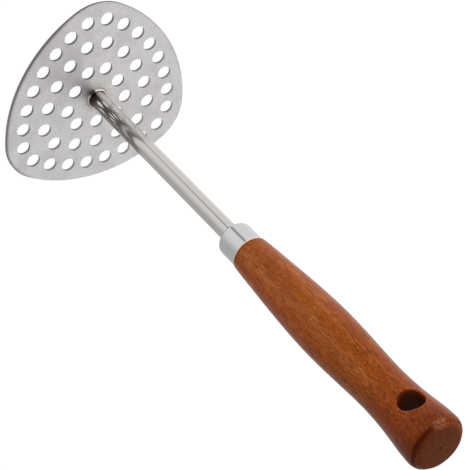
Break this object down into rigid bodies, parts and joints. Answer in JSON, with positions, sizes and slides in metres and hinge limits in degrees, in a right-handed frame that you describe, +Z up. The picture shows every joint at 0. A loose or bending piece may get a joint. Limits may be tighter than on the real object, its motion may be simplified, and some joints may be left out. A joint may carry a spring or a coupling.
{
  "type": "potato masher",
  "caption": "Hand potato masher: perforated rounded-triangle steel plate on a tubular steel stem, with a ferrule and a turned wooden handle that has a hanging hole.",
  "frame": {"origin": "centre of the mashing plate's underside, on the axis of the stem", "axes": "+Z up the stem towards the butt of the handle, +Y towards one rounded corner of the plate, -Z out of the mashing face"},
  "size_m": [0.0992, 0.0994, 0.2819],
  "materials": {
    "plate_steel": "satin stainless sheet with fine scratches from use",
    "weld_steel": "rippled weld with a faint heat tint",
    "stem_steel": "smooth drawn stainless tube",
    "ferrule_steel": "spun and polished stainless cup",
    "handle_wood": "red-brown hardwood with short open pores, oiled to a low sheen",
    "glue": "cured adhesive"
  },
  "bodies": {
    "root": {"mashing_plate": "plate_steel", "weld_bead": "weld_steel", "stem_tube": "stem_steel", "ferrule": "ferrule_steel", "handle": "handle_wood", "stem_glue": "glue"}
  },
  "joints": []
}
